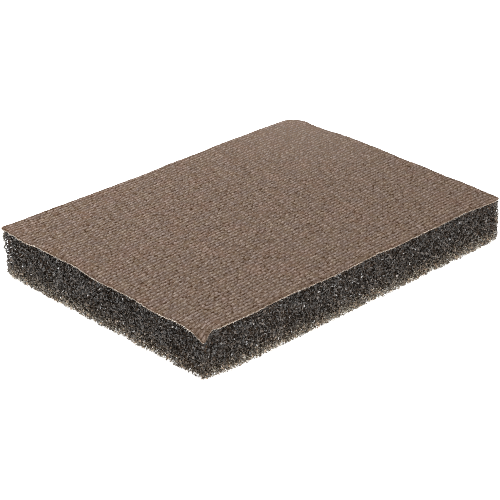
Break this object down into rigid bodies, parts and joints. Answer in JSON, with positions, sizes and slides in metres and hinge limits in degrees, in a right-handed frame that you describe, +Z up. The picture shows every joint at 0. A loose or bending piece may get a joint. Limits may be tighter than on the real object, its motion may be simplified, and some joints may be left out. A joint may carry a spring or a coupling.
{
  "type": "sanding block",
  "caption": "Flexible rectangular hand sanding pad: coated abrasive cloth laminated on open-cell foam, one corner rounded.",
  "frame": {"origin": "centre of the foam's underside, where the pad lies on a table", "axes": "+X along the pad's length and along the rows of the knit, +Y across its width, +Z up through its thickness to the abrasive face; the rounded corner is at +X +Y"},
  "size_m": [0.1, 0.07, 0.012],
  "materials": {
    "foam": "matte, open-cell, with glints on the cell walls",
    "adhesive": "clear amber film, out of sight",
    "cloth": "undyed filament yarn, warp knitted",
    "resin": "brown phenolic resin, cured",
    "abrasive": "brown grain in resin over the knit, dry and matte"
  },
  "bodies": {
    "root": {"foam_block": "foam", "bond_film": "adhesive", "backing_cloth": "cloth", "make_coat": "resin", "grain_coat": "abrasive"}
  },
  "joints": []
}
